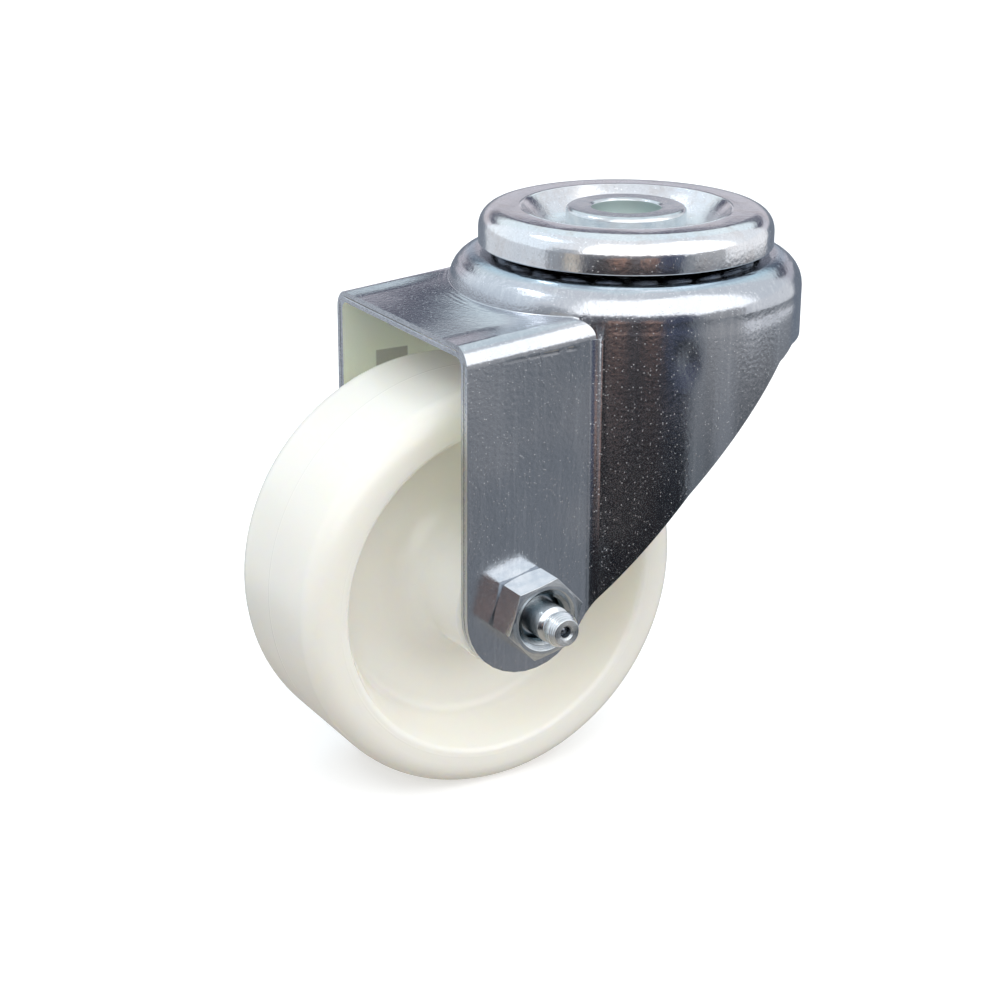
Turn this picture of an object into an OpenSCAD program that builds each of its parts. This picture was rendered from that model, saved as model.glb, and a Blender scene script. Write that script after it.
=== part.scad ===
// Bolt hole swivel castor with a pressed steel fork, a double ball race head and an 80 mm nylon wheel.
// The origin is the middle of the bolt hole, on the face that meets the furniture.
// The swivel axis is Z, the wheel trails toward -X and the axle lies along Y.

/* [Wheel] */
// Diameter of the wheel over its tread
wheel_d = 80; // [70:1:90]
// Width of the wheel over its tread
wheel_w = 32.5; // [28:0.5:34]
// Radius of the round from the tread to the side of the wheel
tread_round = 4.5; // [2:0.5:6]
// Thickness of the rim where the side recess opens
rim_t = 7.7; // [6.5:0.1:9]
// How much the recess narrows from its mouth to the web
recess_taper = 3.6; // [2:0.1:4.5]
// Thickness of the web between the two recesses
web_t = 8.5; // [6:0.5:12]
// Diameter of the hub boss
hub_d = 26; // [25:0.5:28]
// Fillet from the hub boss to the web
hub_fillet = 7; // [4:0.5:8]
// Fillet from the recess wall to the web
rim_fillet = 3; // [1:0.5:5]
// Round at the mouth of the recess
mouth_round = 1.2; // [0.4:0.1:1.5]
// Round at the end of the hub boss
hub_edge = 0.8; // [0.4:0.1:1.2]

/* [Wheel bearing] */
// Wall of the sleeve that the wheel bearing runs on
sleeve_t = 0.9; // [0.7:0.05:1.2]
// Diameter of a bearing roller
roller_d = 3; // [2.5:0.1:3.2]
// Width of the roller cage's end rings, beyond its windows
cage_rim = 2.25; // [1.5:0.05:4]
// How many rollers the cage holds
roller_count = 10; // [7:1:11]
// Radial thickness of the roller cage
cage_t = 2.3; // [1.8:0.1:2.3]
// Running clearance of the rollers on the tube and in the hub
roller_gap = 0.05; // [0.03:0.01:0.1]
// Clearance of a roller in its window in the cage
window_gap = 0.15; // [0.1:0.05:0.3]
// Thickness of the washers pressed into the ends of the hub
retainer_t = 1.6; // [1:0.1:2]
// Outer diameter of the washers pressed into the ends of the hub
retainer_d = 21.6; // [21:0.1:22.5]
// Thickness of the thrust washers against the fork legs
washer_t = 1; // [0.6:0.1:1.5]
// Outer diameter of the thrust washers
washer_d = 22; // [20:0.5:24]
// End play between the hub and a thrust washer
hub_play = 0.3; // [0.2:0.05:0.6]

/* [Fork] */
// Width of the fork over its legs
fork_w = 51; // [50:0.5:54]
// Thickness of the fork's sheet
fork_t = 2.2; // [1.8:0.1:2.4]
// Outer bend radius where the top plate folds into the legs
fold_r = 3.8; // [3:0.1:5]
// Radius of the rounded lower end of a leg
leg_round = 12.8; // [11:0.1:14]
// How far the wheel's axle trails behind the swivel axis
trail = 37; // [35:0.5:39]
// Depth of the wheel's axle below the mounting face
axle_drop = 67; // [65:0.5:72]
// Depth of the top plate's front edge below the mounting face
plate_drop = 15.7; // [15.4:0.1:17]
// Slope of the top plate up to the crown
plate_slope = 4.8; // [4:0.1:8]
// How far the fork's crown reaches beyond the cap, all round
crown_margin = 5.7; // [5.4:0.1:6.4]
// Depth of the crown's crest below the mounting face
crown_drop = 8.4; // [8.2:0.1:8.6]
// Round from the crown's crest to its side wall
crown_round = 6; // [5:0.1:6.4]
// Depth of the rear skirt's lower edge below the mounting face
skirt_drop = 23.7; // [22:0.1:26]
// Where the slanted rear edge of a leg reaches the skirt, ahead of the swivel axis
skirt_start = 17; // [14:0.5:20]
// How far the slanted rear edge of a leg is hollowed
edge_hollow = 1.4; // [0.5:0.1:2.5]
// Where the slanted edge leaves the leg's rounded end, in degrees below level
edge_angle = 36; // [30:1:42]
// Round at the rear corner of the skirt
skirt_round = 3; // [1:0.5:5]
// Radius of the hollow corner between a leg and the crown's wall
corner_r = 4; // [2:0.5:6]

/* [Swivel head] */
// Outer diameter of the cap
cap_d = 57.2; // [54:0.1:62]
// Thickness of the cap's sheet
cap_t = 2.5; // [2.3:0.1:2.5]
// Outer round from the cap's crest to its skirt
cap_round = 4; // [3.5:0.1:5]
// Depth of the cap's skirt below the mounting face
cap_skirt = 7; // [6.6:0.1:7.2]
// How far inside the upper pitch circle the cap's crest starts to turn down
crest_inset = 2.3; // [2:0.1:2.6]
// Round on the inner edge of the cap's crest
crest_round = 0.5; // [0.3:0.1:1]
// Steepness of the cap's dish, in degrees
dish_slope = 46; // [42:1:47]
// Depth of the cap's dish floor below the mounting face
dish_depth = 4.4; // [4:0.1:4.6]
// Hollow round at the foot of the dish
dish_round = 3; // [2:0.5:3.5]
// Diameter of an upper race ball
upper_ball_d = 6.35; // [6:0.05:6.4]
// How far the upper race's pitch circle lies inside the cap's edge
pitch_inset = 6; // [5.9:0.05:6.1]
// Radius of the fork's groove, as a multiple of the upper ball's radius
upper_groove_fit = 1.134; // [1.12:0.002:1.15]
// Diameter of a lower race ball
lower_ball_d = 5; // [4.5:0.1:5.2]
// How far the lower race's pitch circle lies inside the upper one
race_step = 6; // [5.9:0.05:6.2]
// Radius of the lower race's groove, as a multiple of the lower ball's radius
lower_groove_fit = 1.12; // [1.1:0.01:1.14]
// Least gap between neighbouring balls of a race
ball_spacing = 0.05; // [0.02:0.01:0.2]
// Thickness of the lower race's sheet
race_t = 2; // [1.6:0.1:2.4]
// Running clearance of a ball in its groove
race_gap = 0.15; // [0.1:0.01:0.2]
// Depth of the groove coined into the fork for the lower balls
coined_depth = 0.45; // [0.3:0.05:0.6]

/* [Kingpin bush] */
// Diameter of the bush's head
bush_d = 23.4; // [21:0.1:24]
// Diameter of the bolt hole
bolt_hole_d = 13.5; // [12.5:0.1:14]
// Chamfer at the mouth of the bolt hole
hole_chamfer = 0.4; // [0.2:0.1:0.5]
// Round on the edge of the bush's head
bush_round = 1; // [0.3:0.1:1.2]
// Share of the room between the bolt hole and the swaged flange's edge that the bush's wall fills
shank_share = 0.64; // [0.55:0.01:0.7]
// Height of the flange swaged out under the lower race
swage_h = 2; // [1.5:0.1:3]

/* [Axle] */
// Diameter of the axle bolt
axle_d = 10; // [9:0.1:10.4]
// Width across the flats of the bolt's head and the nut
nut_af = 14; // [13.5:0.5:16]
// Diameter of the round face left by the bevel on the nut and the bolt's head
nut_face_d = 13.3; // [12.5:0.1:13.4]
// Height of the nut
nut_h = 7; // [6:0.1:8]
// Height of the bolt's head
bolt_head_h = 6.4; // [5:0.1:8]
// How far the end of the bolt lies inside the nut's face
end_recess = 3.2; // [1:0.1:3.5]
// Turn of the nut on its axle, in degrees
nut_turn = 13.2; // [0:0.1:60]
// Diameter of the countersink in the nut's face
nut_sink_d = 12; // [10.8:0.1:12.2]
// Diameter of the grease channel drilled along the bolt
channel_d = 3; // [2:0.1:3.5]
// Diameter of the cross hole that feeds the bearing
feed_d = 2.5; // [1.5:0.1:3]

/* [Grease nipple] */
// Diameter of the nipple's threaded shank
nipple_shank_d = 6; // [5:0.1:6.4]
// Length of the nipple's threaded shank
nipple_shank_len = 6; // [4:0.5:8]
// Diameter of the nipple's collar
collar_d = 6.9; // [6.5:0.1:8]
// Length of the nipple's collar
collar_len = 5.8; // [4:0.1:6.5]
// Diameter of the nipple's neck
neck_d = 5.2; // [4.5:0.1:5.6]
// Diameter of the nipple's head
nipple_head_d = 6.6; // [6:0.1:7]
// Diameter of the nipple's flat tip
tip_d = 5.1; // [4.5:0.1:5.6]
// Length of the nipple from the end of the bolt to its tip
nipple_reach = 10.1; // [9.7:0.1:11]
// Diameter of the bore inside the nipple
nipple_bore_d = 2.8; // [2.7:0.1:3]
// Diameter of the nipple's mouth behind its chamfer
mouth_d = 2; // [1.6:0.1:2.1]
// Diameter of the ball that closes the nipple
check_ball_d = 2.5; // [2.3:0.1:2.6]
// Thickness of the nipple spring's wire
wire_d = 0.35; // [0.25:0.05:0.4]
// How many turns the nipple's spring has
spring_turns = 6; // [4:1:7]

/* [Fits] */
// Clearance of pieces that slide over each other at assembly
slip_gap = 0.1; // [0.05:0.05:0.15]
// Clearance all round where the swivel fork passes the fixed lower race
swivel_gap = 0.6; // [0.5:0.05:0.7]

/* [Hidden] */
$fn = 72;

// Steps in a quarter turn of a rounded outline
quarter_steps = 8;
// Overlap that lets a cut pass clean through a face
cut = 1;
// Slope of the bevel on the nut's corners, in degrees
bevel_angle = 30;

// Wheel and hub
wheel_r = wheel_d / 2;
half_w = wheel_w / 2;
hub_r = hub_d / 2;
half_web = web_t / 2;
leg_inside = fork_w / 2 - fork_t;
hub_half = leg_inside - washer_t - hub_play;
sleeve_d = axle_d + 2 * (slip_gap + sleeve_t);
bearing_r = sleeve_d / 2 + roller_d + 2 * roller_gap;
cage_mid_r = sleeve_d / 2 + roller_gap + roller_d / 2;
retainer_in = hub_half - retainer_t;
cage_half = retainer_in - hub_play;
roller_len = 2 * (cage_half - cage_rim - window_gap);
mouth_r = wheel_r - rim_t;
wall_angle = atan(recess_taper / (half_w - half_web));
axle_place = [-trail, 0, -axle_drop];

// Swivel head heights, all below the mounting face
ball_r = upper_ball_d / 2;
pitch_r = cap_d / 2 - pitch_inset;
upper_ball_count = floor(180 / asin((upper_ball_d + ball_spacing) / 2 / pitch_r));
ball_z = -cap_t - race_gap - ball_r;
groove_r = ball_r * upper_groove_fit;
groove_z = ball_z - ball_r - race_gap + groove_r;
small_ball_r = lower_ball_d / 2;
small_pitch_r = pitch_r - race_step;
lower_ball_count = floor(180 / asin((lower_ball_d + ball_spacing) / 2 / small_pitch_r));
small_groove_r = small_ball_r * lower_groove_fit;
race_neck_r = small_pitch_r - small_groove_r;
cap_in_r = cap_d / 2 - cap_round;
crest_r = pitch_r - crest_inset;
cap_floor_z = -dish_depth - cap_t;
bolt_hole_r = bolt_hole_d / 2;
flange_r = race_neck_r - race_t - swivel_gap;
shank_r = bolt_hole_r + shank_share * (flange_r - bolt_hole_r);
seat_r = shank_r + slip_gap / 2;

// Crown of the fork
crown_r = cap_d / 2 + crown_margin;
crown_in_r = crown_r - crown_round;
crown_z = -crown_drop;
// How far the upper groove turns inward from its lowest point, in degrees
inner_groove_turn = 52;
flange_z = groove_z - groove_r * cos(inner_groove_turn);
flange_under_z = flange_z - fork_t;
small_groove_z = flange_under_z + coined_depth - small_groove_r;
small_ball_z = small_groove_z + small_groove_r - race_gap - small_ball_r;
race_groove_z = small_ball_z - small_ball_r - race_gap + small_groove_r;
fork_hole_r = race_neck_r + swivel_gap;
fork_depth = axle_drop + leg_round + cut;
// Round where the upper groove meets the crown's crest
lip_r = 1;
// Where the channel of the legs ends within the crown, outside and inside
channel_end = -crown_r / 2;
space_end = -crown_r / 3;

// Axle, measured along Y from the middle of the wheel
axle_r = axle_d / 2;
leg_outside = fork_w / 2;
hole_r = axle_r + slip_gap;
nut_face = leg_outside + nut_h;
bolt_end = nut_face - end_recess;
head_face = leg_outside + bolt_head_h;
tip_face = bolt_end + nipple_reach;
// Depth of the nipple's mouth, and of the seat that its ball closes behind it
mouth_depth = 0.5;
seat_depth = 0.5;
ball_place = tip_face - mouth_depth - seat_depth - check_ball_d / 2;
// Depth of the shoulder that carries the nipple's spring, inside the end of the bolt
shoulder_depth = 1;
spring_shoulder = bolt_end - shoulder_depth;
spring_r = nipple_bore_d / 2 - wire_d / 2 - slip_gap;

// Points along an arc in the drawing plane
function arc(centre, r, from, to) =
  let (steps = max(2, ceil(abs(to - from) / 90 * quarter_steps)))
  [for (i = [0:steps]) let (a = from + (to - from) * i / steps) centre + r * [cos(a), sin(a)]];

// The same points mirrored in the X axis of the drawing, in reverse order
function mirrored(points) = [for (i = [len(points) - 1:-1:0]) [points[i][0], -points[i][1]]];

// Points along a shallow arc from a to b whose middle lies off the chord, to its left for a positive bow
function bowed(a, b, bow) =
  let (
    chord = norm(b - a),
    along = (b - a) / chord,
    left = [-along[1], along[0]],
    r = (chord * chord / 4 + bow * bow) / (2 * bow),
    centre = (a + b) / 2 - (r - bow) * left,
    half = asin(chord / 2 / r),
    up = atan2(left[1], left[0])
  )
  arc(centre, r, up + half, up - half);

// A shape of revolution about the wheel's axle, drawn as radius and distance along Y
module about_axle() {
  translate(axle_place)
    rotate([-90, 0, 0])
      rotate_extrude()
        children();
}

// A ring about the axle, between two places along Y
module axle_ring(outer_r, inner_r, from, to) {
  about_axle()
    polygon([[inner_r, from], [outer_r, from], [outer_r, to], [inner_r, to]]);
}

// A straight bore along Y through the axle line
module axle_bore(r, from, to) {
  translate(axle_place + [0, from, 0])
    rotate([-90, 0, 0])
      cylinder(r = r, h = to - from);
}

// A ring of equal balls about the swivel axis
module ball_ring(count, r, ring_r, z) {
  for (i = [0:count - 1])
    rotate([0, 0, 360 * i / count])
      translate([ring_r, 0, z])
        sphere(r = r, $fn = 32);
}

// Cap: a pressed dish whose rolled rim is the upper race of the big balls
module top_cap() {
  crest = [crest_r, -crest_round];
  side = [-sin(dish_slope), cos(dish_slope)];
  wall = crest + crest_round * side;
  down = [-cos(dish_slope), -sin(dish_slope)];
  run = (wall[1] + dish_round * side[1] + dish_depth - dish_round) / sin(dish_slope);
  foot = wall + dish_round * side + run * down;
  fold = dish_slope / 2;
  under = crest + (cap_t - crest_round) / cos(fold) * [sin(fold), -cos(fold)];
  rim = [cap_in_r, -cap_round];
  color("lightsteelblue")
    rotate_extrude($fn = 144)
      polygon(concat(
        [[cap_d / 2, -cap_skirt]],
        arc(rim, cap_round, 0, 90),
        arc(crest, crest_round, 90, 90 + dish_slope),
        arc(foot, dish_round, dish_slope - 90, -90),
        [[seat_r, -dish_depth], [seat_r, cap_floor_z]],
        arc(foot, dish_round + cap_t, -90, dish_slope - 90),
        [under],
        arc(rim, cap_round - cap_t, 90, 0),
        [[cap_d / 2 - cap_t, -cap_skirt]]
      ));
}

// Kingpin bush: a hollow rivet that clamps the cap to the lower race and takes the bolt
module kingpin_bush() {
  end_z = cap_floor_z - race_t - swage_h;
  color("gainsboro")
    rotate_extrude($fn = 144)
      polygon(concat(
        [[bolt_hole_r, end_z + hole_chamfer], [bolt_hole_r, -hole_chamfer]],
        [[bolt_hole_r + hole_chamfer, 0]],
        arc([bush_d / 2 - bush_round, -bush_round], bush_round, 90, 0),
        [[bush_d / 2, -dish_depth], [shank_r, -dish_depth], [shank_r, end_z + swage_h]],
        [[flange_r, end_z + swage_h]],
        arc([flange_r - bush_round, end_z + bush_round], bush_round, 0, -90),
        [[bolt_hole_r + hole_chamfer, end_z]]
      ));
}

module upper_balls() {
  color("silver")
    ball_ring(upper_ball_count, ball_r, pitch_r, ball_z);
}

module lower_balls() {
  color("silver")
    ball_ring(lower_ball_count, small_ball_r, small_pitch_r, small_ball_z);
}

// Lower race: a pressed cup that hangs from the cap and carries the small balls
module lower_race() {
  neck_round = 1.5;
  rim_turn = 345;
  centre = [small_pitch_r, race_groove_z];
  shoulder = [race_neck_r - neck_round, cap_floor_z - neck_round];
  color("slategray")
    rotate_extrude($fn = 144)
      polygon(concat(
        [[seat_r, cap_floor_z]],
        arc(shoulder, neck_round, 90, 0),
        arc(centre, small_groove_r, 180, rim_turn),
        arc(centre, small_groove_r + race_t, rim_turn, 180),
        [[race_neck_r - race_t, cap_floor_z - race_t], [seat_r, cap_floor_z - race_t]]
      ));
}

// Upper surface of the crown, as radius and height, closed down to the fork's lowest point
module crown_outline() {
  groove = [pitch_r, groove_z];
  lip_z = crown_z - lip_r;
  reach = groove_r + lip_r;
  lip = [pitch_r + sqrt(reach * reach - pow(lip_z - groove_z, 2)), lip_z];
  lean = atan2(lip[1] - groove[1], lip[0] - groove[0]);
  polygon(concat(
    [[0, -fork_depth], [crown_r, -fork_depth]],
    arc([crown_in_r, crown_z - crown_round], crown_round, 0, 90),
    arc(lip, lip_r, 90, lean + 180),
    arc(groove, groove_r, lean, -90 - inner_groove_turn),
    [[0, flange_z]]
  ));
}

// Space under the crown, with the hole for the lower race and the coined groove of the small balls
module crown_space_outline() {
  groove = [pitch_r, groove_z];
  under_r = groove_r + fork_t;
  ceiling_z = crown_z - fork_t;
  outer_end = -asin((groove_z - ceiling_z) / under_r);
  inner_end = -180 + asin((groove_z - flange_under_z) / under_r);
  coin = acos((small_groove_r - coined_depth) / small_groove_r);
  polygon(concat(
    [[0, -fork_depth - cut], [crown_r - fork_t, -fork_depth - cut]],
    arc([crown_in_r, crown_z - crown_round], crown_round - fork_t, 0, 90),
    arc(groove, under_r, outer_end, inner_end),
    arc([small_pitch_r, small_groove_z], small_groove_r, 90 - coin, 90 + coin),
    [[fork_hole_r, flange_under_z], [fork_hole_r, cut], [0, cut]]
  ));
}

// Channel of the top plate and the two legs, sunk by an inset on each face
module channel(inset, back) {
  half = fork_w / 2 - inset;
  bend = fold_r - inset;
  front = 6;
  translate([-trail - leg_round, 0, -plate_drop])
    rotate([0, -plate_slope, 0])
      translate([-front, 0, -inset])
        rotate([90, 0, 90])
          linear_extrude(trail + leg_round + front + back)
            polygon(concat(
              [[-half, -fork_depth - front], [half, -fork_depth - front]],
              arc([half - bend, -bend], bend, 0, 90),
              arc([bend - half, -bend], bend, 90, 180)
            ));
}

// Middle of a hollow corner, in plan
function corner_centre() =
  let (reach = crown_r + corner_r, side = leg_outside + corner_r)
  [-sqrt(reach * reach - side * side), side];

// Hollow corner in plan where a leg runs into the crown's round wall
module corner_web(inset, top) {
  r = corner_r + inset;
  centre = corner_centre();
  touch = centre * (crown_r - inset) / norm(centre);
  inner = [centre[0] + 2 * corner_r, leg_outside - 2 * corner_r];
  translate([0, 0, -fork_depth])
    linear_extrude(fork_depth + top)
      difference() {
        polygon([[centre[0], inner[1]], [centre[0], centre[1] - r], centre, touch, inner]);
        translate(centre)
          circle(r = r);
      }
}

module both_sides() {
  children();
  mirror([0, 1, 0])
    children();
}

// Side view of the fork: a rounded leg end, a hollowed slanting rear edge and the skirt under the crown
module fork_side() {
  centre = [-trail, -axle_drop];
  start = centre + leg_round * [cos(edge_angle), -sin(edge_angle)];
  corner = [skirt_start, -skirt_drop];
  slant = (corner - start) / norm(corner - start);
  rear = crown_r + cut;
  polygon(concat(
    [[-trail - leg_round, cut]],
    arc(centre, leg_round, 180, 360 - edge_angle),
    bowed(start, corner - skirt_round * slant, edge_hollow),
    [corner + [skirt_round, 0], [rear, -skirt_drop], [rear, cut]]
  ));
}

// Fork: one pressed sheet that holds the crown with both race grooves, the top plate and the legs
module swivel_fork() {
  corner_top = -plate_drop + (trail + leg_round + corner_centre()[0]) * tan(plate_slope) - fold_r;
  color("lightslategray")
    intersection() {
      difference() {
        union() {
          rotate_extrude($fn = 144)
            crown_outline();
          channel(0, channel_end);
          both_sides()
            corner_web(0, corner_top);
        }
        rotate_extrude($fn = 144)
          crown_space_outline();
        channel(fork_t, space_end);
        both_sides()
          corner_web(fork_t, corner_top - fork_t);
        axle_bore(hole_r, -fork_w, fork_w);
      }
      translate([0, fork_w, 0])
        rotate([90, 0, 0])
          linear_extrude(2 * fork_w)
            fork_side();
    }
}

// Half of the wheel's section, as radius and distance from the middle of the wheel
function wheel_half() =
  let (
    up = [sin(wall_angle), cos(wall_angle)],
    inward = [-up[1], up[0]],
    wall = [mouth_r - recess_taper, half_web],
    low = wall + rim_fillet * inward,
    low_centre = low + up * (half_web + rim_fillet - low[1]) / up[1],
    high = wall - mouth_round * inward,
    high_centre = high + up * (half_w - mouth_round - high[1]) / up[1]
  )
  concat(
    [[bearing_r, retainer_in], [retainer_d / 2, retainer_in], [retainer_d / 2, hub_half]],
    arc([hub_r - hub_edge, hub_half - hub_edge], hub_edge, 90, 0),
    arc([hub_r + hub_fillet, half_web + hub_fillet], hub_fillet, 180, 270),
    arc(low_centre, rim_fillet, 270, 360 - wall_angle),
    arc(high_centre, mouth_round, 180 - wall_angle, 90),
    arc([wheel_r - tread_round, half_w - tread_round], tread_round, 90, 0)
  );

// Wheel: one nylon moulding with a recess on each side, a web and a hub
module wheel() {
  color("ivory")
    translate(axle_place)
      rotate([-90, 0, 0])
        rotate_extrude($fn = 180)
          polygon(concat(wheel_half(), mirrored(wheel_half())));
}

// Washer pressed into one end of the hub, which keeps the roller cage in
module retainer(side) {
  mirror([0, side, 0])
    axle_ring(retainer_d / 2, sleeve_d / 2 + hub_play, retainer_in, hub_half);
}

module near_retainer() {
  color("silver")
    retainer(1);
}

module far_retainer() {
  color("silver")
    retainer(0);
}

// Cage: a moulded tube with one window for each roller
module roller_cage() {
  window = roller_len / 2 + window_gap;
  color("dimgray")
    difference() {
      axle_ring(cage_mid_r + cage_t / 2, cage_mid_r - cage_t / 2, -cage_half, cage_half);
      rollers_at(roller_d / 2 + window_gap, window);
    }
}

// One roller, or its window, at each place around the cage
module rollers_at(r, half) {
  for (i = [0:roller_count - 1])
    translate(axle_place)
      rotate([0, 360 * i / roller_count, 0])
        translate([cage_mid_r, -half, 0])
          rotate([-90, 0, 0])
            cylinder(r = r, h = 2 * half, $fn = 32);
}

module bearing_rollers() {
  color("silver")
    rollers_at(roller_d / 2, roller_len / 2);
}

// Sleeve: the tube that the bolt clamps between the legs, with a hole that feeds the rollers
module axle_sleeve() {
  color("lightgray")
    difference() {
      axle_ring(sleeve_d / 2, hole_r, -leg_inside, leg_inside);
      translate(axle_place)
        cylinder(r = feed_d / 2, h = sleeve_d, $fn = 32);
    }
}

module thrust_washer(side) {
  mirror([0, side, 0])
    axle_ring(washer_d / 2, sleeve_d / 2 + slip_gap, leg_inside - washer_t, leg_inside);
}

module near_thrust_washer() {
  color("silver")
    thrust_washer(1);
}

module far_thrust_washer() {
  color("silver")
    thrust_washer(0);
}

// A hexagon about the axle whose corners are turned away on its outer face, or on both
module hexagon(height, turn, both) {
  face_r = nut_face_d / 2;
  flare = height / tan(bevel_angle);
  low_r = both ? face_r : nut_af;
  intersection() {
    rotate([0, 0, turn])
      cylinder(d = nut_af / cos(30), h = height, $fn = 6);
    cylinder(r1 = low_r, r2 = low_r + flare, h = height);
    cylinder(r1 = face_r + flare, r2 = face_r, h = height);
  }
}

// Bolt: hexagon head on the far side, a plain shank, a drilled channel and a cross hole for grease
module axle_bolt() {
  thread_run = 1;
  pocket = bolt_end - nipple_shank_len - thread_run;
  color("gainsboro")
    difference() {
      union() {
        translate(axle_place + [0, leg_outside, 0])
          rotate([-90, 0, 0])
            hexagon(bolt_head_h, 0, false);
        axle_bore(axle_r, -bolt_end, leg_outside + cut);
      }
      axle_bore(nipple_shank_d / 2 + slip_gap, -bolt_end - cut, -pocket);
      axle_bore(channel_d / 2, -pocket - cut, feed_d);
      translate(axle_place - [0, 0, axle_d])
        cylinder(r = feed_d / 2, h = 2 * axle_d, $fn = 32);
    }
}

// Nut: both faces beveled, with a countersunk mouth round the recessed bolt end
module axle_nut() {
  sink = (nut_sink_d / 2 - hole_r);
  color("lightsteelblue")
    translate(axle_place - [0, leg_outside, 0])
      rotate([90, 0, 0])
        difference() {
          hexagon(nut_h, nut_turn, true);
          rotate_extrude()
            polygon([
              [0, -cut], [hole_r, -cut], [hole_r, nut_h - sink], [nut_sink_d / 2, nut_h],
              [nut_sink_d / 2, nut_h + cut], [0, nut_h + cut]
            ]);
        }
}

// Nipple body: shank, collar, neck and head, bored for the ball and its spring
module nipple_body() {
  neck_len = 1.6;
  head_land = 1;
  edge = 0.3;
  taper = 0.4;
  bore_r = nipple_bore_d / 2;
  core_r = channel_d / 4;
  shank = nipple_shank_d / 2;
  collar_end = bolt_end + collar_len;
  neck_end = collar_end + neck_len;
  head_end = neck_end + head_land;
  color("gainsboro")
    mirror([0, 1, 0])
      about_axle()
        polygon([
          [core_r, bolt_end - nipple_shank_len], [shank, bolt_end - nipple_shank_len],
          [shank, bolt_end], [collar_d / 2, bolt_end], [collar_d / 2, collar_end - edge],
          [collar_d / 2 - edge, collar_end], [neck_d / 2, collar_end + taper],
          [neck_d / 2, neck_end - taper], [nipple_head_d / 2, neck_end], [nipple_head_d / 2, head_end],
          [tip_d / 2, tip_face], [mouth_d / 2 + taper, tip_face], [mouth_d / 2, tip_face - mouth_depth],
          [bore_r, tip_face - mouth_depth - seat_depth], [bore_r, spring_shoulder],
          [core_r, spring_shoulder]
        ]);
}

module nipple_ball() {
  color("silver")
    translate(axle_place - [0, ball_place, 0])
      sphere(r = check_ball_d / 2, $fn = 32);
}

// Spring: a round wire swept along a helix whose pitch follows its length and its turns
module nipple_spring() {
  rest = ball_place - check_ball_d / 2 - wire_d;
  length = rest - spring_shoulder - wire_d;
  round_steps = 16;
  sides = 8;
  rings = spring_turns * round_steps;
  points = [
    for (i = [0:rings], k = [0:sides - 1])
      let (
        turn = 360 * i / round_steps,
        around = 360 * k / sides,
        out = spring_r + wire_d / 2 * cos(around)
      )
      [out * cos(turn), out * sin(turn), length * i / rings + wire_d / 2 * sin(around)]
  ];
  walls = [
    for (i = [0:rings - 1], k = [0:sides - 1])
      let (a = i * sides, b = a + sides, next = (k + 1) % sides)
      [a + k, b + k, b + next, a + next]
  ];
  start = [for (k = [0:sides - 1]) k];
  end = [for (k = [sides - 1:-1:0]) rings * sides + k];
  color("silver")
    translate(axle_place - [0, spring_shoulder + wire_d, 0])
      rotate([90, 0, 0])
        polyhedron(points, concat(walls, [start, end]));
}

top_cap();
kingpin_bush();
upper_balls();
swivel_fork();
lower_balls();
lower_race();
wheel();
near_retainer();
far_retainer();
roller_cage();
bearing_rollers();
axle_sleeve();
near_thrust_washer();
far_thrust_washer();
axle_bolt();
axle_nut();
nipple_body();
nipple_ball();
nipple_spring();
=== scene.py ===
"""Looks of a bolt hole castor: finish of each piece, fine detail, stage, light and camera."""

import math

import bmesh
import bpy
from mathutils import Matrix, Vector


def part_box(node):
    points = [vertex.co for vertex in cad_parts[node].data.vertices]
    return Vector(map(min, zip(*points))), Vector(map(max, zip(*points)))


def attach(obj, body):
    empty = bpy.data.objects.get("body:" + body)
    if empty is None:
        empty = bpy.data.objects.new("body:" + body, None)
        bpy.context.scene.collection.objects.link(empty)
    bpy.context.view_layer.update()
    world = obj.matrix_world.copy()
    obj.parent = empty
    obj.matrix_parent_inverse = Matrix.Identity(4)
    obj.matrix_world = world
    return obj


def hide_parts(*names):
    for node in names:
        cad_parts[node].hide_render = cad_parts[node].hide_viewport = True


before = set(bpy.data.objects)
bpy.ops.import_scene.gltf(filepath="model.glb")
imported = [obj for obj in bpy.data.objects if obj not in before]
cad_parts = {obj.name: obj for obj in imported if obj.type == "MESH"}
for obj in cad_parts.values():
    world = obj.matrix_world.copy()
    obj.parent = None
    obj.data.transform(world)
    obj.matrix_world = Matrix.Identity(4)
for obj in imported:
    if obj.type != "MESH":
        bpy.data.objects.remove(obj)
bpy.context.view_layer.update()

MM = 0.001

# Places read from the frame
wheel_low, wheel_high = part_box("wheel")
fork_low, fork_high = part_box("swivel_fork")
nut_low, nut_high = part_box("axle_nut")
cap_low, cap_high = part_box("top_cap")
axle = (wheel_low + wheel_high) / 2
wheel_radius = (wheel_high.z - wheel_low.z) / 2
crown_radius = fork_high.x
fork_near = nut_high.y
bolt_low, bolt_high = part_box("axle_bolt")
plate_low = cap_low.z - 8.7 * MM

# Places of the marks that the press and the mould leave, and of a painted patch
CREASE_HEIGHT = -15.5 * MM
DENT = Vector((-8.0, -33.4, -22.0)) * MM
LINE_HEIGHT = -17.3 * MM
PARTING_LINE = 1.5 * MM
WAVE_PITCH = 1.15 * MM
PLATE_RISE = 0.75 * MM
# Middle of the grey patch painted into the reflection on the far leg's inner face
SHADED_PATCH_X = -39.1 * MM
crest_radius = cap_high.x - 8.2 * MM

# Forms that the solids leave to the scene
FOOT_FILLET = 1.6 * MM
REAR_HOLLOW = 1.7 * MM
REAR_EDGE_LOW = Vector((-26.6, 0, -74.5)) * MM
REAR_EDGE_HIGH = Vector((17.0, 0, -23.7)) * MM

# Camera that the photograph was taken with
CAMERA_TARGET = Vector((-27.910, 0, -55.390)) * MM
CAMERA_DISTANCE = 427.705 * MM
CAMERA_AZIMUTH = math.radians(-30.569)
CAMERA_ELEVATION = math.radians(19.801)
CAMERA_ROLL = math.radians(0.319)
CAMERA_LENS = 78.91


# Meshes


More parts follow.
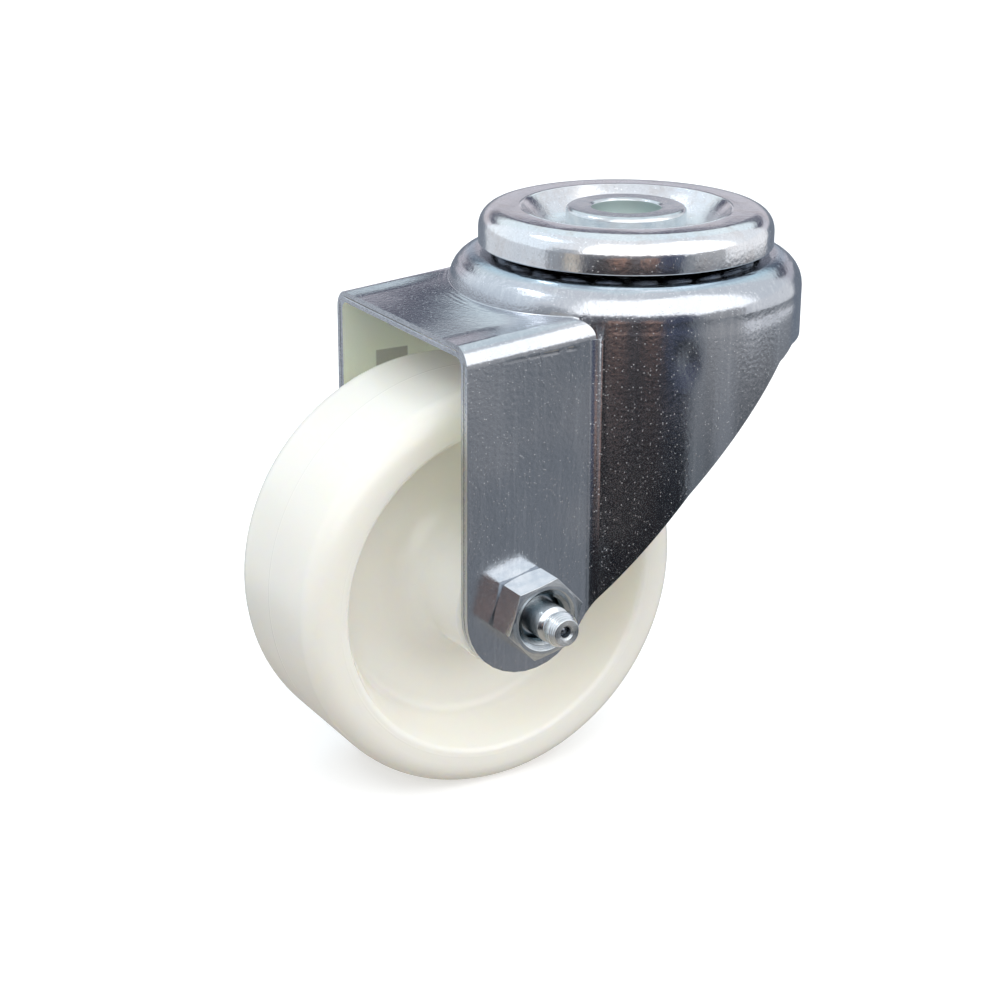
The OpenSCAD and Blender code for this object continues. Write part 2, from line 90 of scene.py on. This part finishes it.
def new_piece(name, mesh, node, body):
    """Puts a mesh into the scene as the piece that stands for a CAD node."""
    piece = bpy.data.objects.new(name, mesh)
    bpy.context.scene.collection.objects.link(piece)
    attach(piece, body)
    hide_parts(node)
    return piece


def joined_mesh(node):
    """A copy of a node's mesh with its corners joined and its flat faces whole."""
    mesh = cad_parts[node].data.copy()
    mesh.materials.clear()
    work = bmesh.new()
    work.from_mesh(mesh)
    bmesh.ops.remove_doubles(work, verts=work.verts, dist=1e-6)
    bmesh.ops.dissolve_limit(
        work, angle_limit=math.radians(0.3), verts=work.verts, edges=work.edges
    )
    bmesh.ops.recalc_face_normals(work, faces=work.faces)
    work.to_mesh(mesh)
    work.free()
    mesh.shade_smooth()
    return mesh


def broken_edges(piece, width, sharp=35.0, segments=3):
    """Rounds a piece's sharp edges a little and keeps its faces true."""
    piece.data.set_sharp_from_angle(angle=math.radians(sharp))
    bevel = piece.modifiers.new("broken edges", "BEVEL")
    bevel.width = width
    bevel.segments = segments
    bevel.limit_method = "ANGLE"
    bevel.angle_limit = math.radians(sharp)
    bevel.harden_normals = True
    bevel.use_clamp_overlap = True


# Shader nodes


class Finish:
    """A material whose nodes are added one call at a time."""

    def __init__(self, name):
        self.material = bpy.data.materials.new(name)
        self.material.use_nodes = True
        self.material.cycles.emission_sampling = "NONE"
        self.tree = self.material.node_tree
        self.shader = self.tree.nodes["Principled BSDF"]
        coordinates = self.add("ShaderNodeTexCoord")
        self.place = coordinates.outputs["Object"]
        self.facing = coordinates.outputs["Normal"]

    def add(self, kind, **inputs):
        node = self.tree.nodes.new(kind)
        for name, value in inputs.items():
            self.feed(node.inputs[name.replace("_", " ")], value)
        return node

    def feed(self, socket, value):
        if isinstance(value, bpy.types.NodeSocket):
            self.tree.links.new(value, socket)
        else:
            socket.default_value = value

    def set(self, **inputs):
        for name, value in inputs.items():
            self.feed(self.shader.inputs[name.replace("_", " ")], value)

    def noise(self, size, detail=2.0, roughness=0.5, place=None):
        """Noise whose features are about size metres across, from 0 to 1."""
        node = self.add(
            "ShaderNodeTexNoise", Scale=1 / size, Detail=detail, Roughness=roughness
        )
        self.tree.links.new(place or self.place, node.inputs["Vector"])
        return node.outputs["Fac"]

    def cells(self, size, place=None):
        """Distance from the middle of a cell, in cells, and the cell's own random colour."""
        node = self.add("ShaderNodeTexVoronoi", Scale=1 / size)
        self.tree.links.new(place or self.place, node.inputs["Vector"])
        return node.outputs["Distance"], node.outputs["Color"]

    def span(self, value, low, high, to_low=0.0, to_high=1.0, smooth=False):
        """A value carried from one range to another and held at its ends."""
        node = self.add("ShaderNodeMapRange")
        node.interpolation_type = "SMOOTHSTEP" if smooth else "LINEAR"
        for name, item in (
            ("Value", value),
            ("From Min", low),
            ("From Max", high),
            ("To Min", to_low),
            ("To Max", to_high),
        ):
            self.feed(node.inputs[name], item)
        return node.outputs["Result"]

    def math(self, operation, first, second=0.0):
        node = self.tree.nodes.new("ShaderNodeMath")
        node.operation = operation
        self.feed(node.inputs[0], first)
        self.feed(node.inputs[1], second)
        return node.outputs["Value"]

    def mix(self, share, first, second):
        """A colour between two colours."""
        node = self.tree.nodes.new("ShaderNodeMix")
        node.data_type = "RGBA"
        self.feed(node.inputs["Factor"], share)
        self.feed(node.inputs["A"], first)
        self.feed(node.inputs["B"], second)
        return node.outputs["Result"]

    def split(self, vector=None):
        node = self.add("ShaderNodeSeparateXYZ")
        self.tree.links.new(vector or self.place, node.inputs[0])
        return node.outputs["X"], node.outputs["Y"], node.outputs["Z"]

    def from_axis(self, middle, share):
        """Distance from a line through middle, along the axis where share is 0."""
        offset = self.tree.nodes.new("ShaderNodeVectorMath")
        offset.operation = "SUBTRACT"
        self.feed(offset.inputs[0], self.place)
        self.feed(offset.inputs[1], middle)
        flat = self.tree.nodes.new("ShaderNodeVectorMath")
        flat.operation = "MULTIPLY"
        self.feed(flat.inputs[0], offset.outputs["Vector"])
        self.feed(flat.inputs[1], share)
        length = self.tree.nodes.new("ShaderNodeVectorMath")
        length.operation = "LENGTH"
        self.feed(length.inputs[0], flat.outputs["Vector"])
        return length.outputs["Value"]

    def scaled(self, share):
        """The place in the piece, stretched or squeezed along each axis."""
        node = self.tree.nodes.new("ShaderNodeVectorMath")
        node.operation = "MULTIPLY"
        self.feed(node.inputs[0], self.place)
        self.feed(node.inputs[1], share)
        return node.outputs["Vector"]

    def near(self, value, middle, reach):
        """1 where a value is at the middle, easing to 0 at reach on either side."""
        offset = self.math("ABSOLUTE", self.math("SUBTRACT", value, middle))
        return self.span(offset, reach, 0.0, smooth=True)

    def both(self, *shares):
        product = shares[0]
        for share in shares[1:]:
            product = self.math("MULTIPLY", product, share)
        return product

    def bump(self, height, depth, strength=1.0, under=None):
        """A normal bent by a height of depth metres, over another bump."""
        node = self.add("ShaderNodeBump", Strength=strength, Distance=depth, Height=height)
        if under is not None:
            self.tree.links.new(under, node.inputs["Normal"])
        return node.outputs["Normal"]


def rgb(red, green, blue):
    return (red, green, blue, 1.0)


def specks(finish, size, share, radius=0.36):
    """Round specks scattered over a surface; share is how many of the places hold one."""
    distance, own = finish.cells(size)
    chosen = finish.span(finish.split(own)[0], 1 - share, 1 - share + 0.03)
    return finish.both(chosen, finish.span(distance, radius, 0.06, smooth=True))


def zinc_sheet(name, deep, pale, rough, marks):
    """Bright zinc on pressed sheet: drawing streaks, a fine grain and pinhead specks."""
    finish = Finish(name)
    cast = finish.span(finish.noise(24 * MM, 2.0), 0.36, 0.64, smooth=True)
    grain = finish.noise(0.36 * MM, 2.0, 0.65)
    streaks = finish.noise(1.1 * MM, 2.0, 0.6, finish.scaled((1.0, 1.0, 0.05)))
    pits = specks(finish, 0.8 * MM, 0.14, 0.24)
    glints = specks(finish, 0.34 * MM, 0.13, 0.42)
    base = finish.mix(cast, deep, pale)
    base = finish.mix(finish.span(grain, 0.35, 0.7, 0.0, 0.22), base, rgb(0.42, 0.45, 0.50))
    base = finish.mix(finish.span(streaks, 0.5, 0.72, 0.0, 0.16), base, rgb(0.92, 0.94, 0.96))
    base = finish.mix(finish.both(pits, 0.3), base, rgb(0.25, 0.27, 0.31))
    base = finish.mix(finish.both(glints, 0.35), base, rgb(0.96, 0.97, 0.98))
    grainy = finish.span(grain, 0.3, 0.7, -0.04, 0.05)
    uneven = finish.math("ADD", grainy, finish.span(cast, 0, 1, -0.01, 0.03))
    skin = finish.bump(finish.noise(9 * MM, 0.0), 0.12 * MM, 0.15)
    skin = finish.bump(finish.noise(0.7 * MM, 0.0), 0.024 * MM, 0.6, skin)
    skin = finish.bump(grain, 0.016 * MM, 0.6, skin)
    skin = finish.bump(glints, 0.033 * MM, 0.8, skin)
    base, skin, dull = marks(finish, base, skin)
    rough = finish.math("ADD", uneven, rough)
    rough = finish.math("ADD", rough, finish.math("MULTIPLY", dull, 0.4))
    finish.set(Base_Color=base, Roughness=rough, Normal=skin, Metallic=1.0)
    return finish.material


def press_marks(finish, base, skin):
    """Marks of the press on the fork: waves at the dome's foot, a crease, a dent and a line
    darkened with painted shade.
    """
    x, y, z = finish.split()
    radius = finish.from_axis((0, 0, 0), (1, 1, 0))
    foot = finish.span(radius, crown_radius + 4.5 * MM, crown_radius + 1.2 * MM, smooth=True)
    top = finish.span(z, plate_low - 1.0 * MM, plate_low, smooth=True)
    patchy = finish.span(finish.noise(7 * MM, 0.0), 0.42, 0.6, smooth=True)
    wave = finish.math("SINE", finish.math("MULTIPLY", radius, 2 * math.pi / WAVE_PITCH))
    skin = finish.bump(finish.both(wave, foot, top, patchy), 0.03 * MM, 0.6, skin)
    behind = finish.span(x, -13 * MM, -7 * MM, smooth=True)
    crease = finish.near(z, CREASE_HEIGHT, 2.6 * MM)
    skin = finish.bump(finish.both(crease, behind), -0.09 * MM, 0.6, skin)
    dent = finish.both(
        finish.near(x, DENT.x, 4 * MM),
        finish.near(y, DENT.y, 4 * MM),
        finish.near(z, DENT.z, 6 * MM),
    )
    skin = finish.bump(dent, -0.2 * MM, 1.0, skin)
    level = finish.math("ADD", z, finish.math("MULTIPLY", x, -0.04))
    line = finish.both(
        finish.near(level, LINE_HEIGHT, 0.6 * MM),
        finish.span(x, -46 * MM, -30 * MM, smooth=True),
        finish.span(x, -26.5 * MM, -28 * MM, smooth=True),
        finish.span(finish.noise(1.6 * MM, 0.0, place=finish.scaled((1, 1, 0.2))), 0.3, 0.5),
        finish.span(y, fork_near + 0.7 * MM, fork_near + 0.3 * MM),
    )
    skin = finish.bump(line, -0.1 * MM, 0.8, skin)
    # Painted shade: the press line's groove is darkened.
    base = finish.mix(finish.both(line, 0.45), base, rgb(0.16, 0.17, 0.19))
    rising = finish.math("POWER", finish.span(radius, crown_radius + 13 * MM, crown_radius), 2.0)
    between = finish.span(finish.math("ABSOLUTE", y), 25 * MM, 16 * MM, smooth=True)
    rise = finish.both(finish.math("SUBTRACT", rising, 1.0), between)
    skin = finish.bump(rise, PLATE_RISE, 1.0, skin)
    base, skin = cut_edges(finish, base, skin)
    return fork_painted_reflections(finish, base, skin)


def cut_edges(finish, base, skin):
    """The torn metal and the break line on the sheet's cut edges, which face -X."""
    x, y, z = finish.split()
    facing = finish.split(finish.facing)[0]
    cut = finish.span(facing, -0.8, -0.93)
    width = finish.math("ABSOLUTE", y)
    break_line = finish.math(
        "MAXIMUM",
        finish.both(
            finish.near(width, -fork_near - 1.15 * MM, 0.22 * MM),
            finish.span(z, -18 * MM, -19 * MM),
        ),
        finish.both(
            finish.near(z, plate_low - 1.2 * MM, 0.22 * MM),
            finish.span(width, 22.5 * MM, 21.5 * MM),
        ),
    )
    torn = finish.noise(0.4 * MM, 1.0, 0.7)
    skin = finish.bump(finish.both(cut, torn), 0.10 * MM, 0.9, skin)
    skin = finish.bump(finish.both(cut, break_line), -0.2 * MM, 1.0, skin)
    greyed = finish.both(cut, finish.span(torn, 0.3, 0.7, 0.25, 0.55))
    return finish.mix(greyed, base, rgb(0.36, 0.38, 0.42)), skin


def fork_painted_reflections(finish, base, skin):
    """Reflections painted as colour, fitted to the photo: the far leg's pale inner face, a grey
    patch in it, a blue ring at the lip.
    """
    x, y, z = finish.split()
    radius = finish.from_axis((0, 0, 0), (1, 1, 0))
    facing = finish.split(finish.facing)[0]
    width = finish.math("ABSOLUTE", y)
    inside = finish.both(
        finish.span(width, -fork_near - 0.8 * MM, -fork_near - 1.6 * MM),
        finish.span(x, -23 * MM, -25 * MM),
        finish.span(z, plate_low - 1.9 * MM, plate_low - 2.1 * MM),
        finish.span(facing, -0.6, -0.3),
    )
    across = finish.math("ABSOLUTE", finish.math("SUBTRACT", x, SHADED_PATCH_X))
    patch = finish.both(
        finish.span(across, 3.6 * MM, 3.4 * MM),
        finish.span(z, -28.7 * MM, -28.9 * MM),
        finish.span(z, -36.1 * MM, -35.9 * MM),
        finish.span(y, 20 * MM, 21 * MM),
    )
    # Painted reflection: the far leg's inner face is turned pale, as if it mirrored the wheel, with
    # a grey patch painted into it.
    base = finish.mix(inside, base, rgb(0.95, 1.0, 0.90))
    base = finish.mix(finish.both(inside, patch, 0.7), base, rgb(0.42, 0.42, 0.42))
    # Painted reflection: a blue ring round the crown's lip, where the groove catches light.
    lip = finish.both(
        finish.near(radius, cap_high.x + 1.5 * MM, 1.6 * MM), finish.span(z, plate_low, cap_low.z)
    )
    base = finish.mix(finish.both(lip, 0.55), base, rgb(0.28, 0.50, 0.64))
    return base, skin, inside


def edge_marks(finish, base, skin):
    """The burnished inner edge of the cap's crest with a painted highlight on it, faint stains and
    the duller dish.
    """
    radius = finish.from_axis((0, 0, 0), (1, 1, 0))
    edge = finish.both(
        finish.near(radius, crest_radius, 0.4 * MM),
        finish.span(finish.split()[2], -2.5 * MM, -1 * MM),
    )
    skin = finish.bump(edge, 0.16 * MM, 1.0, skin)
    stain = finish.span(finish.noise(5 * MM, 3.0, 0.6), 0.46, 0.66, 0.0, 0.28, smooth=True)
    base = finish.mix(stain, base, rgb(0.60, 0.53, 0.50))
    dish = finish.span(radius, crest_radius - 1.0 * MM, crest_radius - 3.0 * MM, 0.0, 0.35)
    # Painted highlight: the crest's raised edge is also made brighter in colour.
    return finish.mix(edge, base, rgb(0.97, 0.98, 0.99)), skin, dish


def zinc_turned(name, middle, share, pitch=0.24 * MM, depth=0.02 * MM, rough=0.2, dull=0.0):
    """Bright zinc on a turned piece with the tool's fine rings and painted shade in the nut's
    mouth; dull makes the bush's bore duller and paints light into it instead.
    """
    finish = Finish(name)
    grain = finish.noise(0.3 * MM, 3.0)
    cloud = finish.noise(2.5 * MM, 2.0)
    around = finish.from_axis(middle, share)
    along = finish.from_axis(middle, tuple(1 - item for item in share))
    phase = finish.math("ADD", around, along)
    phase = finish.math("ADD", phase, finish.math("MULTIPLY", cloud, 0.15 * MM))
    rings = finish.math("SINE", finish.math("MULTIPLY", phase, 2 * math.pi / pitch))
    base = finish.mix(finish.span(cloud, 0.35, 0.65), rgb(0.62, 0.67, 0.71), rgb(0.74, 0.77, 0.79))
    base = finish.mix(finish.span(rings, -1, 1, 0.0, 0.18), base, rgb(0.45, 0.48, 0.52))
    base = finish.mix(finish.both(specks(finish, 0.4 * MM, 0.12), 0.5), base, rgb(0.95, 0.96, 0.97))
    skin = finish.bump(rings, depth, 0.6)
    skin = finish.bump(grain, 0.012 * MM, 0.6, skin)
    # Painted light in the bush's bore: a pale teal, paler towards its depth, on a duller finish.
    bore = finish.both(
        finish.span(around, 7.2 * MM, 7.0 * MM),
        finish.span(finish.split()[2], -0.4 * MM, -0.6 * MM),
        dull,
    )
    shade = finish.span(finish.split()[2], -0.8 * MM, -4.5 * MM, smooth=True)
    base = finish.mix(bore, base, finish.mix(shade, rgb(0.50, 0.58, 0.58), rgb(0.86, 0.97, 0.96)))
    # Painted shade: the nut's mouth round the thread is darkened.
    depth_in = finish.split()[1]
    mouth = finish.both(
        finish.span(around, 6.0 * MM, 5.5 * MM),
        finish.span(around, 3.6 * MM, 3.9 * MM),
        finish.span(depth_in, nut_low.y + 0.8 * MM, nut_low.y + 1.6 * MM),
        finish.span(depth_in, 0, -20 * MM),
        1.0 - dull,
    )
    base = finish.mix(mouth, base, rgb(0.16, 0.23, 0.27))
    uneven = finish.span(grain, 0.3, 0.7, rough - 0.04, rough + 0.05)
    finish.set(
        Base_Color=base,
        Roughness=finish.math("ADD", uneven, finish.math("MULTIPLY", bore, 0.35)),
        Normal=skin,
        Metallic=1.0,
    )
    return finish.material


def bearing_steel():
    """Bearing steel under a dark film of grease, made darker still as painted shade for the gaps it
    sits in.
    """
    finish = Finish("bearing_steel")
    film = finish.noise(1.5 * MM, 3.0)
    base = finish.mix(film, rgb(0.16, 0.18, 0.21), rgb(0.34, 0.37, 0.41))
    finish.set(Base_Color=base, Roughness=finish.span(film, 0.3, 0.7, 0.1, 0.24), Metallic=1.0)
    return finish.material


def cage_plastic():
    finish = Finish("cage_plastic")
    grain = finish.noise(0.4 * MM, 2.0)
    base = finish.mix(grain, rgb(0.03, 0.03, 0.032), rgb(0.05, 0.05, 0.052))
    finish.set(Base_Color=base, Roughness=0.5, Normal=finish.bump(grain, 0.02 * MM, 0.4))
    return finish.material


def natural_nylon():
    """Milky nylon that light goes a few millimetres into, with a parting line, specks and a faint
    painted glow.
    """
    finish = Finish("natural_nylon")
    y = finish.split()[1]
    radius = finish.from_axis(axle, (1, 0, 1))
    cloud = finish.noise(16 * MM, 0.0)
    dirt = finish.both(specks(finish, 5.5 * MM, 0.3, 0.06), 0.3)
    base = finish.mix(cloud, rgb(0.85, 0.84, 0.785), rgb(0.87, 0.865, 0.82))
    base = finish.mix(dirt, base, rgb(0.30, 0.28, 0.25))
    tread = finish.span(radius, wheel_radius - 1.5 * MM, wheel_radius - 0.8 * MM)
    parting = finish.both(tread, finish.near(y, PARTING_LINE, 0.32 * MM))
    ring = finish.both(finish.near(radius, wheel_radius - 6.2 * MM, 0.25 * MM), 0.5)
    skin = finish.bump(finish.noise(8 * MM, 0.0), 0.12 * MM, 0.25)
    skin = finish.bump(finish.math("ADD", parting, ring), 0.04 * MM, 0.9, skin)
    finish.set(
        Base_Color=base,
        Roughness=finish.span(cloud, 0.3, 0.7, 0.16, 0.23),
        Normal=skin,
    )
    finish.set(Subsurface_Weight=0.75, Subsurface_Scale=7 * MM, IOR=1.53)
    # A faint warm glow painted into the nylon, standing in for light carried through it.
    finish.set(Emission_Color=rgb(1.0, 0.95, 0.80), Emission_Strength=0.065)
    finish.shader.inputs["Subsurface Radius"].default_value = (1.0, 0.85, 0.6)
    return finish.material


# Stage, light and camera


class Sky:
    """Light of the studio, painted by direction: an even ground with soft patches over it."""

    def __init__(self, ground):
        world = bpy.data.worlds.new("studio")
        bpy.context.scene.world = world
        world.use_nodes = True
        world.cycles.sampling_method = "NONE"
        self.tree = world.node_tree
        self.tree.nodes.clear()
        place = self.tree.nodes.new("ShaderNodeTexCoord")
        parts = self.tree.nodes.new("ShaderNodeSeparateXYZ")
        self.tree.links.new(place.outputs["Generated"], parts.inputs[0])
        self.turn = self.math("ARCTAN2", parts.outputs["Y"], parts.outputs["X"])
        self.rise = self.math("ARCSINE", parts.outputs["Z"])
        self.colour = ground

    def feed(self, socket, value):
        if isinstance(value, bpy.types.NodeSocket):
            self.tree.links.new(value, socket)
        else:
            socket.default_value = value

    def math(self, operation, *values):
        node = self.tree.nodes.new("ShaderNodeMath")
        node.operation = operation
        for socket, value in zip(node.inputs, values):
            self.feed(socket, value)
        return node.outputs["Value"]

    def fade(self, value, start, end):
        node = self.tree.nodes.new("ShaderNodeMapRange")
        node.interpolation_type = "SMOOTHSTEP"
        self.feed(node.inputs["Value"], value)
        node.inputs["From Min"].default_value = start
        node.inputs["From Max"].default_value = end
        return node.outputs["Result"]

    def patch(self, start, end, low, high, colour, soft=3.0):
        """A patch of light, or of shade, between two azimuths and two elevations in degrees."""
        ease = math.radians(soft) / 2
        share = 1.0
        if end - start < 360:
            middle, half = math.radians((start + end) / 2), math.radians((end - start) / 2)
            offset = self.math("WRAP", self.math("SUBTRACT", self.turn, middle), math.pi, -math.pi)
            share = self.fade(self.math("ABSOLUTE", offset), half + ease, half - ease)
        for limit, way in ((math.radians(low), 1), (math.radians(high), -1)):
            inner = self.fade(self.rise, limit - way * ease, limit + way * ease)
            share = self.math("MULTIPLY", share, inner)
        node = self.tree.nodes.new("ShaderNodeMix")
        node.data_type = "RGBA"
        self.feed(node.inputs["Factor"], share)
        self.feed(node.inputs["A"], self.colour)
        node.inputs["B"].default_value = colour
        self.colour = node.outputs["Result"]

    def done(self, strength=1.0):
        background = self.tree.nodes.new("ShaderNodeBackground")
        self.feed(background.inputs["Color"], self.colour)
        background.inputs["Strength"].default_value = strength
        output = self.tree.nodes.new("ShaderNodeOutputWorld")
        self.tree.links.new(background.outputs["Background"], output.inputs["Surface"])


def studio():
    """The studio's light, its patches fitted to what each face reflects in the photo."""
    sky = Sky(rgb(0.27, 0.285, 0.31))
    sky.patch(-180, 180, 5, 100, rgb(0.92, 0.95, 0.99), 5)
    sky.patch(204, 330, 6, 68, rgb(1.9, 1.9, 1.9), 8)
    sky.patch(318, 380, -12.0, 12, rgb(1.0, 1.0, 1.02), 3)
    sky.patch(290, 318, -12.5, 8, rgb(0.46, 0.46, 0.47), 4)
    sky.patch(15, 100, 25, 100, rgb(0.92, 1.03, 1.08), 3)
    sky.patch(15, 100, 15, 25, rgb(0.055, 0.056, 0.10), 3)
    sky.patch(15, 100, 5, 16, rgb(0.68, 0.66, 0.72), 3)
    sky.patch(15, 100, -20, 5, rgb(0.20, 0.23, 0.28), 4)
    sky.patch(100, 174, -14, 60, rgb(1.0, 1.08, 1.15), 2)
    sky.patch(100, 174, -20, 6, rgb(0.70, 0.74, 0.79), 4)
    sky.patch(178, 200, 3, 22, rgb(0.45, 0.48, 0.52), 5)
    sky.patch(136, 160, 47, 52, rgb(9.0, 9.2, 9.4), 2)
    sky.patch(174, 190, -29, 5, rgb(0.33, 0.35, 0.38), 3)
    sky.patch(190, 201, -29, 5, rgb(0.60, 0.56, 0.50), 4)
    sky.patch(204, 263, -29, -13, rgb(0.010, 0.012, 0.016), 3)
    sky.patch(204, 263, -13, 11, rgb(0.15, 0.155, 0.175), 3)
    sky.patch(262, 280, -29, -11.5, rgb(0.016, 0.019, 0.024), 3)
    sky.patch(262, 281, -11.5, 11, rgb(0.085, 0.10, 0.155), 4)
    sky.patch(212, 262, -13, -8, rgb(0.05, 0.042, 0.042), 4)
    sky.patch(226, 238, -8, -2, rgb(0.60, 0.36, 0.28), 3)
    sky.patch(249, 260, -8, -2, rgb(0.55, 0.33, 0.26), 3)
    sky.patch(282, 290, -29, -13, rgb(0.22, 0.24, 0.26), 6)
    sky.patch(291, 298, -29, -13, rgb(0.11, 0.12, 0.135), 5)
    sky.patch(298, 314, -29, -13, rgb(0.27, 0.29, 0.32), 3)
    sky.patch(314, 350, -29, -13, rgb(0.12, 0.13, 0.145), 5)
    sky.patch(-180, 180, -100, -30, rgb(0.44, 0.41, 0.37), 5)
    sky.done()


def floor():
    mesh = bpy.data.meshes.new("floor")
    reach = 6.0
    corners = [(-reach, -reach, 0), (reach, -reach, 0), (reach, reach, 0), (-reach, reach, 0)]
    mesh.from_pydata(corners, [], [(0, 1, 2, 3)])
    ground = bpy.data.objects.new("floor", mesh)
    ground.location.z = wheel_low.z - 0.02 * MM
    bpy.context.scene.collection.objects.link(ground)
    ground.visible_glossy = False
    ground.visible_diffuse = False
    finish = Finish("floor")
    finish.set(Base_Color=rgb(0.80, 0.80, 0.80), Roughness=0.9, Emission_Strength=0.32)
    finish.set(Emission_Color=rgb(1, 1, 1))
    mesh.materials.append(finish.material)


def camera():
    back = Vector(
        (
            math.sin(CAMERA_AZIMUTH) * math.cos(CAMERA_ELEVATION),
            -math.cos(CAMERA_AZIMUTH) * math.cos(CAMERA_ELEVATION),
            math.sin(CAMERA_ELEVATION),
        )
    )
    right = Vector((math.cos(CAMERA_AZIMUTH), math.sin(CAMERA_AZIMUTH), 0.0))
    up = back.cross(right)
    turn = Matrix.Rotation(CAMERA_ROLL, 3, back)
    axes = Matrix((turn @ right, turn @ up, back)).transposed()
    data = bpy.data.cameras.new("camera")
    data.lens = CAMERA_LENS
    data.sensor_width = 36.0
    data.clip_start = 0.01
    data.clip_end = 50.0
    eye = bpy.data.objects.new("camera", data)
    eye.matrix_world = Matrix.Translation(CAMERA_TARGET + back * CAMERA_DISTANCE) @ axes.to_4x4()
    bpy.context.scene.collection.objects.link(eye)
    bpy.context.scene.camera = eye


# Pieces


def filleted_foot(mesh, reach):
    """Rounds the hollow corner where the dome rises from the fork's plate."""
    work = bmesh.new()
    work.from_mesh(mesh)
    foot = []
    for edge in work.edges:
        if len(edge.link_faces) != 2 or edge.is_convex:
            continue
        middle = (edge.verts[0].co + edge.verts[1].co) / 2
        near_dome = abs(middle.xy.length - crown_radius) < 2 * MM
        on_plate = max(face.normal.z for face in edge.link_faces) > 0.95
        if near_dome and on_plate and middle.x < -15 * MM and middle.z > plate_low - 1.5 * MM:
            if edge.calc_face_angle() > math.radians(20):
                foot.append(edge)
    bmesh.ops.bevel(
        work, geom=foot, offset=reach, segments=6, profile=0.5, affect="EDGES", clamp_overlap=True
    )
    bmesh.ops.recalc_face_normals(work, faces=work.faces)
    work.to_mesh(mesh)
    work.free()
    mesh.shade_smooth()


def hollow_rear(mesh, depth):
    """Draws the slanted rear edges of the legs in, most in the middle of their run."""
    start, end = REAR_EDGE_LOW, REAR_EDGE_HIGH
    for vertex in mesh.vertices:
        share = (vertex.co.x - start.x) / (end.x - start.x)
        if 0 < share < 1 and abs(vertex.co.z - start.z - share * (end.z - start.z)) < 4 * MM:
            vertex.co.z += depth * 4 * share * (1 - share)


def fork_sheet(material):
    """The pressed fork, with a soft foot round its dome and lightly broken cut edges."""
    mesh = joined_mesh("swivel_fork")
    hollow_rear(mesh, REAR_HOLLOW)
    filleted_foot(mesh, FOOT_FILLET)
    piece = new_piece("fork_sheet", mesh, "swivel_fork", "fork")
    broken_edges(piece, 0.42 * MM, 38.0)
    piece.data.materials.append(material)
    return piece


def nut_thread(material):
    """The thread in the nut's mouth, beyond the end of the bolt."""
    outer, inner, pitch, steps = 5.14 * MM, 4.45 * MM, 1.25 * MM, 48
    start = bolt_low.y + 0.3 * MM
    turns = 2.2
    count = int(turns * steps)
    work = bmesh.new()
    rings = []
    for step in range(count + 1):
        angle = 2 * math.pi * step / steps
        y = start - pitch * step / steps
        ring = []
        for radius, offset in ((outer, 0.52), (inner, 0.0), (outer, -0.52)):
            x = axle.x + radius * math.cos(angle)
            z = axle.z + radius * math.sin(angle)
            ring.append(work.verts.new((x, y + offset * pitch, z)))
        rings.append(ring)
    for first, second in zip(rings, rings[1:]):
        for side in range(3):
            other = (side + 1) % 3
            work.faces.new((first[side], first[other], second[other], second[side]))
    work.faces.new(rings[0])
    work.faces.new(rings[-1])
    bmesh.ops.recalc_face_normals(work, faces=work.faces)
    mesh = bpy.data.meshes.new("nut_thread")
    work.to_mesh(mesh)
    work.free()
    piece = bpy.data.objects.new("nut_thread", mesh)
    bpy.context.scene.collection.objects.link(piece)
    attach(piece, "fork")
    mesh.materials.append(material)
    return piece


def flatter_nut(material):
    """The nut, with a flatter bevel on the corners of its face."""
    mesh = joined_mesh("axle_nut")
    for vertex in mesh.vertices:
        radius = math.hypot(vertex.co.x - axle.x, vertex.co.z - axle.z)
        if radius > 6.4 * MM and vertex.co.y < nut_low.y + 1.5 * MM:
            vertex.co.y = nut_low.y + 0.35 * (vertex.co.y - nut_low.y)
    piece = new_piece("axle_nut_finished", mesh, "axle_nut", "fork")
    broken_edges(piece, 0.14 * MM, 20.0)
    piece.data.materials.append(material)


def finished(node, body, material, edge=0.15, sharp=35.0):
    """A piece that keeps a node's form, with smooth rounds and lightly broken edges."""
    piece = new_piece(f"{node}_finished", joined_mesh(node), node, body)
    broken_edges(piece, edge * MM, sharp)
    piece.data.materials.append(material)
    return piece


camera()
studio()
floor()
bpy.context.scene.view_settings.view_transform = "Standard"

# The fork's zinc is set darker than the cap's: partly the cap's finer polish, partly painted shade
# on the fork and painted light on the cap for the different surroundings each reflects.
fork_zinc = zinc_sheet(
    "zinc_plated_fork", rgb(0.53, 0.56, 0.605), rgb(0.61, 0.625, 0.66), 0.17, press_marks
)
cap_zinc = zinc_sheet(
    "zinc_plated_cap", rgb(0.77, 0.80, 0.84), rgb(0.87, 0.87, 0.88), 0.14, edge_marks
)
turned_about_axle = zinc_turned("zinc_turned_axle", axle, (1, 0, 1))
turned_about_swivel = zinc_turned(
    "zinc_turned_swivel", (0, 0, 0), (1, 1, 0), depth=0.004 * MM, dull=1.0
)
nut_zinc = zinc_turned("zinc_plated_nut", axle, (1, 0, 1), 0.5 * MM, 0.003 * MM)
steel = bearing_steel()
nylon = natural_nylon()
cage = cage_plastic()

fork_sheet(fork_zinc)
finished("top_cap", "swivel_head", cap_zinc, 0.3)
finished("lower_race", "swivel_head", cap_zinc, 0.2)
finished("kingpin_bush", "swivel_head", turned_about_swivel)
finished("wheel", "road_wheel", nylon, 0.3)
for name in ("near_retainer", "far_retainer"):
    finished(name, "road_wheel", turned_about_axle)
for name in ("axle_sleeve", "near_thrust_washer", "far_thrust_washer", "nipple_body"):
    finished(name, "fork", turned_about_axle, 0.12)
finished("axle_bolt", "fork", nut_zinc, 0.12)
flatter_nut(nut_zinc)
nut_thread(turned_about_axle)
for name, body in (
    ("upper_balls", "upper_ball_ring"),
    ("lower_balls", "lower_ball_ring"),
    ("bearing_rollers", "roller_set"),
    ("nipple_ball", "fork"),
    ("nipple_spring", "fork"),
):
    finished(name, body, steel, 0.05)
finished("roller_cage", "roller_set", cage, 0.1)
